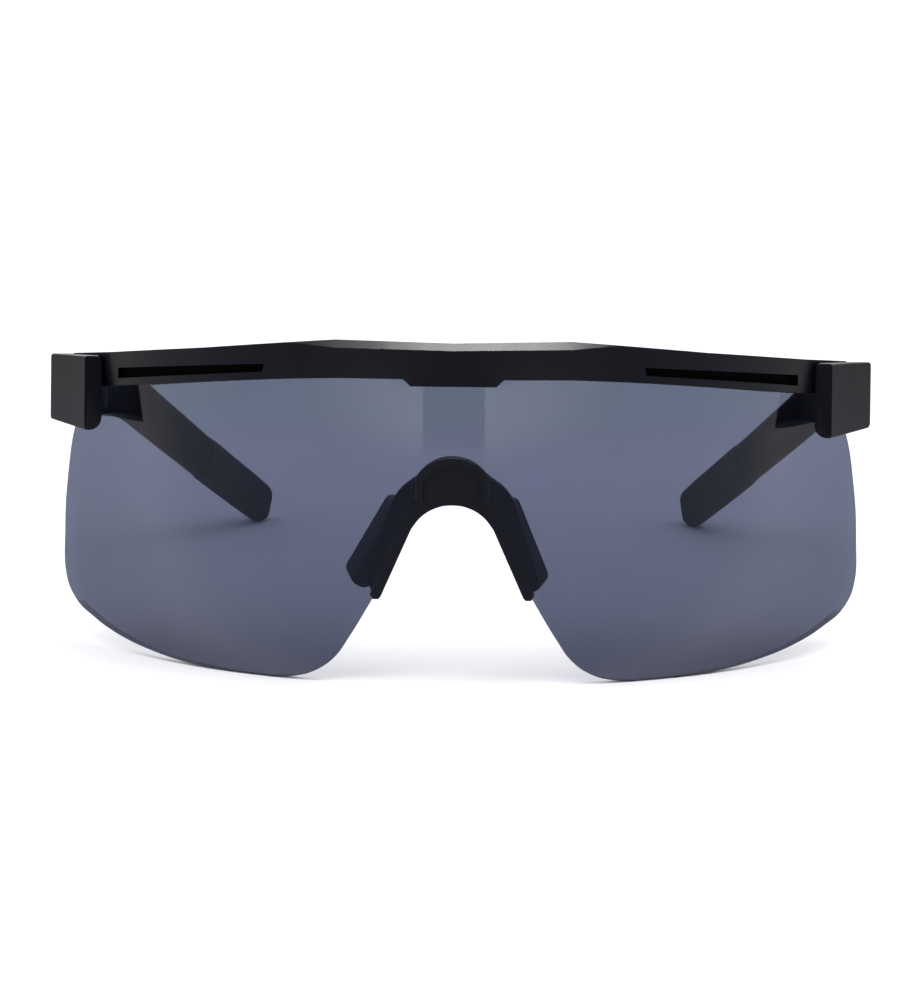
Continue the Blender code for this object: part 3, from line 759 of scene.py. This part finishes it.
# %% Temple stations
TEMPLE_INNER_X = 67.4
BLOCK = [((61.0, 12.4), (64.0, 11.9), 42.4, 55.2),
         ((64.3, 15.8), (67.4, 17.0), 43.2, 55.4),
         ((TEMPLE_INNER_X, 19.4), (71.3, 22.4), 44.2, 55.6),
         ((TEMPLE_INNER_X, 25.0), (71.7, 25.6), 44.4, 55.7)]
LINE = [((69.6, 34.0, 50.0), 11.1, 4.2), ((69.8, 62.0, 50.0), 10.5, 3.9),
        ((69.3, 86.0, 49.7), 10.0, 3.7), ((67.6, 98.0, 48.7), 9.9, 3.8),
        ((63.3, 108.2, 44.3), 9.4, 4.0), ((57.6, 119.0, 38.6), 8.8, 4.1),
        ((52.1, 129.8, 33.2), 8.5, 4.2), ((48.2, 138.6, 29.4), 8.2, 4.3),
        ((45.6, 144.7, 26.8), 7.8, 4.3)]
TIP_SHARE = 0.675            # share of the line where the rubber starts
SEAM = 0.003                 # share of the line left open between plastic and rubber
LOOK_ALONG = 0.01            # share of the line that gives its direction
LEAST_RADIUS = 0.1


def path_point(share):
    """Point, height and thickness on the smooth line through the stations."""
    count = len(LINE) - 1
    place = min(share * count, count - 1e-6)
    index = int(place)
    t = place - index
    centres = [Vector(centre) for centre, height, thickness in LINE]
    before = centres[index - 1] if index else 2 * centres[0] - centres[1]
    after = centres[index + 2] if index + 2 <= count else 2 * centres[-1] - centres[-2]
    a, b = centres[index], centres[index + 1]
    point = 0.5 * (2 * a + (b - before) * t + (2 * before - 5 * a + 4 * b - after) * t ** 2
                   + (3 * a - before - 3 * b + after) * t ** 3)
    size = [LINE[index][k] * (1 - t) + LINE[index + 1][k] * t for k in (1, 2)]
    return point, size[0], size[1]


def path_frame(share):
    ahead = path_point(min(share + LOOK_ALONG, 1.0))[0]
    behind = path_point(max(share - LOOK_ALONG, 0.0))[0]
    along = (ahead - behind).normalized()
    out = along.cross(Vector((0, 0, 1))).normalized()
    return along, out, out.cross(along)


def path_ring(share, corner, extra=0.0, inset=0.0, push=0.0):
    """Rounded ring square to the line, made fatter by extra, or smaller all round by inset."""
    point, height, thickness = path_point(share)
    along, out, up = path_frame(share)
    section = rounded_section(height + extra - 2 * inset, thickness + extra - 2 * inset,
                              max(corner - inset, LEAST_RADIUS))
    return [point + along * push + out * a + up * b for a, b in section]


print("the rubber starts at", [round(c, 1) for c in path_point(TIP_SHARE)[0]], "mm")


# %% Make the temples
FRONT_CORNERS = (0.5, 0.6, 0.9, 2.1)         # radii outside low, outside high, inside high, low
FRONT_EDGE = ((0.35, 0.0), (0.1, 0.1), (0.0, 0.35))      # inset and push of the rings round it
BLOCK_CORNER, HOOK_CORNER = 0.55, 1.9
ROUNDED_FROM = 0.4           # share of the line where the corners are fully rounded
BAR_STEPS = 56
PLUG_INSET, PLUG_SHARE = 0.6, 0.02           # the end that goes into the rubber


def block_ring(station, corners, inset=0.0, push=0.0):
    inner, outer, low, high = station
    inner, outer = Vector((*inner, 0)), Vector((*outer, 0))
    centre = (inner + outer) / 2 + Vector((0, 0, (low + high) / 2))
    across = (outer - inner).normalized()
    ahead = Vector((-across.y, across.x, 0))
    if isinstance(corners, tuple):
        corners = tuple(max(radius - inset, LEAST_RADIUS) for radius in corners)
    section = rounded_section(high - low - 2 * inset, (outer - inner).length - 2 * inset, corners)
    return [centre + ahead * push + across * a + Vector((0, 0, b)) for a, b in section]


def temple_rings():
    rings = [block_ring(BLOCK[0], FRONT_CORNERS, inset, push) for inset, push in FRONT_EDGE]
    rings += [block_ring(station, BLOCK_CORNER) for station in BLOCK[1:]]
    for step in range(BAR_STEPS + 1):
        share = TIP_SHARE * step / BAR_STEPS
        rounded = min(1.0, share / ROUNDED_FROM)
        rings.append(path_ring(share, BLOCK_CORNER + (HOOK_CORNER - BLOCK_CORNER) * rounded))
    rings.append(path_ring(TIP_SHARE, HOOK_CORNER, inset=PLUG_INSET))
    rings.append(path_ring(TIP_SHARE + PLUG_SHARE, HOOK_CORNER, inset=PLUG_INSET))
    return rings


def make_temple(name, side):
    temple = sweep("temple_bar_" + name, temple_rings())
    smooth(temple, 28)
    temple.data.materials.append(temple_plastic.material)
    finish_mesh(temple, WEAR_FRAME, side)
    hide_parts("temple_" + name)
    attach(temple, f"temple_{name}_arm")
    return temple


for name, side in SIDES.items():
    print(make_temple(name, side).name)

# %% [markdown]
# ## Temple tips
# A rubber sleeve covers the end of the hook. It stands a hair proud of the plastic, has a
# small rounded lip at its mouth, and closes in a blunt round end. The very end is cut
# flat by the table that it stands on, so it is trimmed at the floor.

# %% Make the temple tips
TIP_EXTRA = 0.3              # how much fatter than the plastic
MOUTH_EDGE = ((0.3, 0.0), (0.08, 0.1), (0.0, 0.3))       # inset and push of the lip's rings
TIP_STEPS = 26
END_LENGTH, END_CORNER = 2.8, 2.0            # of the rounded end
END_HEIGHT, END_THICKNESS = 0.28, 0.12       # shares of the section left at the very end


def tip_rings():
    start = TIP_SHARE + SEAM
    rings = [path_ring(start, HOOK_CORNER, TIP_EXTRA, inset, push)
             for inset, push in MOUTH_EDGE]
    rings += [path_ring(start + (1 - start) * step / TIP_STEPS, HOOK_CORNER, TIP_EXTRA)
              for step in range(1, TIP_STEPS + 1)]
    along, out, up = path_frame(1.0)
    point, height, thickness = path_point(1.0)
    for angle in range(10, 90, 10):
        lift = math.sin(math.radians(angle))
        shrink = math.cos(math.radians(angle))
        high = (height + TIP_EXTRA) * (END_HEIGHT + (1 - END_HEIGHT) * shrink)
        thick = (thickness + TIP_EXTRA) * (END_THICKNESS + (1 - END_THICKNESS) * shrink)
        section = rounded_section(high, thick, END_CORNER)
        centre = point + along * END_LENGTH * lift
        rings.append([centre + out * a + up * b for a, b in section])
    return rings


def make_tip(name, side):
    tip = sweep("rubber_tip_" + name, tip_rings())
    smooth(tip, 50)
    tip.data.materials.append(tip_rubber.material)
    finish_mesh(tip, WEAR_FRAME, side)
    edit(tip)
    bpy.ops.mesh.bisect(plane_co=(0, 0, 0), plane_no=(0, 0, 1), use_fill=True, clear_inner=True,
                        threshold=1e-6)
    close_edit()
    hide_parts("temple_tip_" + name)
    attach(tip, f"temple_{name}_arm")
    return tip


for name, side in SIDES.items():
    print(make_tip(name, side).name)

# %% [markdown]
# ## The brow bar
# The bar's walls, facet, slots and lens groove already have their final shape in the
# model, so it is taken from there: a copy is merged and its flat faces melted together,
# and a Bevel rounds the edges that the mould would have rounded.

# %% Find the faces of the two slots
BAR_RADIUS = 88.0            # of the bar's front wall, round the lens's axis
SLOT_REACH = 1.6             # a little more than the slot's depth
SLOT_X, SLOT_HIGH = (31.0, 58.6), (51.0, 54.1)
WALL_MARGIN = 0.15           # keeps the rounded edge of the front wall out


def in_slot(face):
    """True for the walls and floor of a slot, which lie behind the front wall."""
    place = LENS_FRAME.inverted() @ face.center
    level = place.y * math.sin(WEAR_TILT) + place.z * math.cos(WEAR_TILT)
    radius = math.hypot(place.x, place.y - LENS_RADIUS)
    within = SLOT_X[0] < abs(place.x) < SLOT_X[1] and SLOT_HIGH[0] < level < SLOT_HIGH[1]
    return within and BAR_RADIUS - SLOT_REACH < radius < BAR_RADIUS - WALL_MARGIN


print("slots from", SLOT_X[0], "to", SLOT_X[1], "mm on each side")


# %% Make the brow bar
EDGE_ROUNDING = 0.22 * MM


def make_brow_bar():
    only(frame["nodes"]["brow_frame"])
    bpy.ops.object.duplicate()
    bar = bpy.context.object
    bar.name = "brow_bar"
    bar.data = bar.data.copy()
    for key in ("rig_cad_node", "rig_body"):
        if key in bar:
            del bar[key]
    bar.parent = None
    tidy(bar, merge=1e-5, flat=0.6)
    bevel = bar.modifiers.new("moulded_edges", "BEVEL")
    bevel.limit_method = "ANGLE"
    bevel.angle_limit = math.radians(40)
    bevel.width = EDGE_ROUNDING
    bevel.segments = 2
    only(bar)
    bpy.ops.object.modifier_apply(modifier=bevel.name)
    smooth(bar, 30)
    weigh_normals(bar)
    bar.data.materials.clear()
    bar.data.materials.append(frame_plastic.material)
    bar.data.materials.append(slot_painted_shade.material)
    # The slots' walls and floor take the darker plastic: painted shade in the recesses.
    for face in bar.data.polygons:
        face.material_index = 1 if in_slot(face) else 0
    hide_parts("brow_frame")
    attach(bar, "front")
    return bar


brow_bar = make_brow_bar()
print("brow bar faces:", len(brow_bar.data.polygons))

# %% [markdown]
# ## Hinges
# The leaves and screws keep the model's own shape and only get their steel.

# %% Finish the hinges
for name in SIDES:
    for part in ("hinge_frame_leaf_", "hinge_temple_leaf_", "hinge_screw_"):
        hinge = frame["nodes"][part + name]
        hinge.data.materials.clear()
        hinge.data.materials.append(steel.material)
print("hinges in", steel.material.name)

# %% [markdown]
# ## Floor, light and what the surfaces mirror
# A white sweep stands in for the studio table, lit from all round and from above. Far
# from the glasses the floor fades into a plain white glow, so no horizon shows. Black
# plastic and a polished lens show little colour of their own: they show what they mirror.
# So cards that only reflections can see stand in for the dark side of the studio, behind
# the camera, and for the bright panels above and beside it.

# %% Floor
FLOOR_FADE, FLOOR_GLOW = (0.30, 0.95), 1.12  # metres from the middle, and emission


def floor_material():
    ink = Ink("table_white")
    cloud = ink.noise(scale=3.0, detail=2.0, rough=0.5)
    tone = ink.mix_colour(cloud, rgba(0.90, 0.90, 0.92), rgba(0.93, 0.93, 0.94))
    ink.feed(ink.shader.inputs["Base Color"], tone)
    ink.shader.inputs["Roughness"].default_value = 0.7
    ink.shader.inputs["Specular IOR Level"].default_value = 0.2
    distance = ink.node("ShaderNodeVectorMath", {"operation": "LENGTH"},
                        {0: ink.coordinates()}, "Value")
    far = ink.range(distance, *FLOOR_FADE, 0.0, 1.0)
    ink.show(ink.mix_shader(far, Wire(ink, ink.shader.outputs[0]), ink.glow(FLOOR_GLOW)))
    return ink.material


bpy.ops.mesh.primitive_plane_add(size=8.0, location=(0, 0, 0))
table = bpy.context.object
table.name = "table"
table.data.materials.append(floor_material())
print("floor:", table.name, "in", table.data.materials[0].name)


# %% Lights
def area_light(name, place, target, size, watts):
    data = bpy.data.lights.new(name, "AREA")
    data.shape = "RECTANGLE"
    data.size, data.size_y = size
    data.energy = watts
    light = bpy.data.objects.new(name, data)
    bpy.context.scene.collection.objects.link(light)
    direction = Vector(target) - Vector(place)
    light.location = place
    light.rotation_euler = direction.to_track_quat("-Z", "Y").to_euler()
    light.visible_glossy = False


area_light("key_above", (0.1, -0.25, 1.1), (0, 0, 0.02), (1.4, 1.0), 10.0)
area_light("fill_left", (-1.0, -0.5, 0.5), (0, 0, 0.03), (0.8, 0.8), 2.0)
area_light("fill_right", (1.0, -0.5, 0.5), (0, 0, 0.03), (0.8, 0.8), 2.0)
print("lights:", [thing.name for thing in bpy.data.lights])


# %% Cards that only reflections see
def mirror_card(name, corners):
    """A sheet between four corners, given in order, that only mirrors see, and its nodes."""
    bpy.ops.mesh.primitive_plane_add(size=1.0)
    card = bpy.context.object
    card.name = name
    for vertex, corner in zip(card.data.vertices, (corners[k] for k in (0, 1, 3, 2))):
        vertex.co = corner
    ink = Ink(name)
    ink.nodes.remove(ink.shader)
    card.data.materials.append(ink.material)
    card.visible_camera = False
    card.visible_diffuse = False
    card.visible_shadow = False
    card.visible_transmission = False
    return ink


def plain_card(name, corners, strength, colour=(1.0, 1.0, 1.0)):
    ink = mirror_card(name, corners)
    ink.show(ink.glow(strength, colour))


def rectangle(x, y, z):
    """Corners of a level or upright rectangle from its (low, high) pairs; a number is flat."""
    if isinstance(z, tuple):
        return [(x[0], y, z[0]), (x[1], y, z[0]), (x[1], y, z[1]), (x[0], y, z[1])]
    return [(x[0], y[0], z), (x[1], y[0], z), (x[1], y[1], z), (x[0], y[1], z)]


print("card tools ready")

# %% The panels beside the camera and the large cards
PANEL_AT, PANEL_TOP = FRONT - 0.215, 0.019
PANEL_LEFT, PANEL_RIGHT, PANEL_REACH = -0.040, 0.027, 0.19
PANEL_DIM, PANEL_BRIGHT, PANEL_FADE_HEIGHT = 0.28, 1.08, 0.010
DUSK = (0.50, 0.60, 1.0)


def mirror_panel(name, near, far):
    """An upright panel that fades from its near end outwards, and down to the table."""
    x = (min(near, far), max(near, far))
    ink = mirror_card(name, rectangle(x, PANEL_AT, (0.0, PANEL_TOP)))
    outward = ink.range(ink.axis("X"), near, far, 1.0, 0.025)
    upward = ink.range(ink.axis("Z"), 0.0, PANEL_FADE_HEIGHT, 0.1, 1.0)
    ink.show(ink.mix_shader(outward * upward, ink.glow(PANEL_DIM), ink.glow(PANEL_BRIGHT)))


mirror_panel("panel_left", PANEL_LEFT, -PANEL_REACH)
mirror_panel("panel_right", PANEL_RIGHT, PANEL_REACH)
plain_card("panel_gap", rectangle((PANEL_LEFT, PANEL_RIGHT), PANEL_AT, (0.004, PANEL_TOP)), 0.05)
plain_card("dark_side", rectangle((-1.6, 1.6), FRONT - 1.0, (-0.01, 1.4)), 0.07, DUSK)
plain_card("bright_top", rectangle((-0.07, 0.12), (-0.20, 0.16), 0.60), 16.5)
plain_card("bright_back", rectangle((-1.2, 1.2), 1.1, (0.35, 1.1)), 2.5)
print("cards: two panels, the gap between them, dark side, bright top, bright back")

# %% [markdown]
# ## The table's mirror image
# The lens and the glossy plastics also mirror the table. The floor's own light and shadow
# are too even for that, so a sheet just above it, seen by mirrors alone, takes its
# brightness from a ramp over the direction from the glasses: 0 is straight behind them,
# and 1 straight in front.

# %% The table in mirrors
MIRROR_TABLE = [
    (0.0, (0.28, 0.28, 0.31)), (0.34, (0.56, 0.56, 0.60)), (0.50, (0.84, 0.80, 0.82)),
    (0.60, (0.45, 0.47, 0.55)), (0.75, (0.26, 0.28, 0.38)), (1.0, (0.23, 0.26, 0.37))]
ABOVE_TABLE = 0.0006         # metres


def mirror_table():
    ink = mirror_card("mirror_table", rectangle((-3, 3), (-1.2, 3), ABOVE_TABLE))
    offset = ink.node("ShaderNodeVectorMath", {"operation": "SUBTRACT"},
                      {0: ink.coordinates(), 1: (0, FRONT, 0)})
    ahead = ink.node("ShaderNodeVectorMath", {"operation": "NORMALIZE"}, {0: offset})
    direction = ink.range(ink.axis("Y", ahead), 1.0, -1.0, 0.0, 1.0)
    colour = ink.node("ShaderNodeValToRGB", {"stops": MIRROR_TABLE}, {"Fac": direction}, "Color")
    ink.show(ink.node("ShaderNodeEmission", {}, {"Color": colour, "Strength": 1.0}))


mirror_table()
print("table's mirror image:", len(MIRROR_TABLE), "stops")

# %% [markdown]
# ## The room
# The world is one even colour with three strengths: as light on the pieces, as the white
# background that the camera sees, and, much darker, in mirrors, where the cards take over.

# %% Room
ROOM = rgba(0.96, 0.97, 1.0)
LIT, SEEN, MIRRORED = 0.90, 1.15, 0.40       # strength for light, for the camera, in mirrors


class RoomInk(Ink):
    """The nodes of a new world."""

    def __init__(self, name):
        self.world = bpy.data.worlds.new(name)
        self.open(self.world, "Background", "World Output")


def make_room():
    ink = RoomInk("studio")
    ink.nodes.remove(ink.shader)
    lit, seen, mirrored_room = [
        ink.node("ShaderNodeBackground", {}, {"Color": ROOM, "Strength": strength})
        for strength in (LIT, SEEN, MIRRORED)]
    by_camera = ink.node("ShaderNodeLightPath", output="Is Camera Ray")
    by_mirror = ink.node("ShaderNodeLightPath", output="Is Glossy Ray")
    ink.show(ink.mix_shader(by_mirror, ink.mix_shader(by_camera, lit, seen), mirrored_room))
    return ink.world


bpy.context.scene.world = make_room()
bpy.context.scene.view_settings.view_transform = "Standard"
print("room:", bpy.context.scene.world.name)

# %% [markdown]
# ## Finish

# %% The end
print("scene finished")
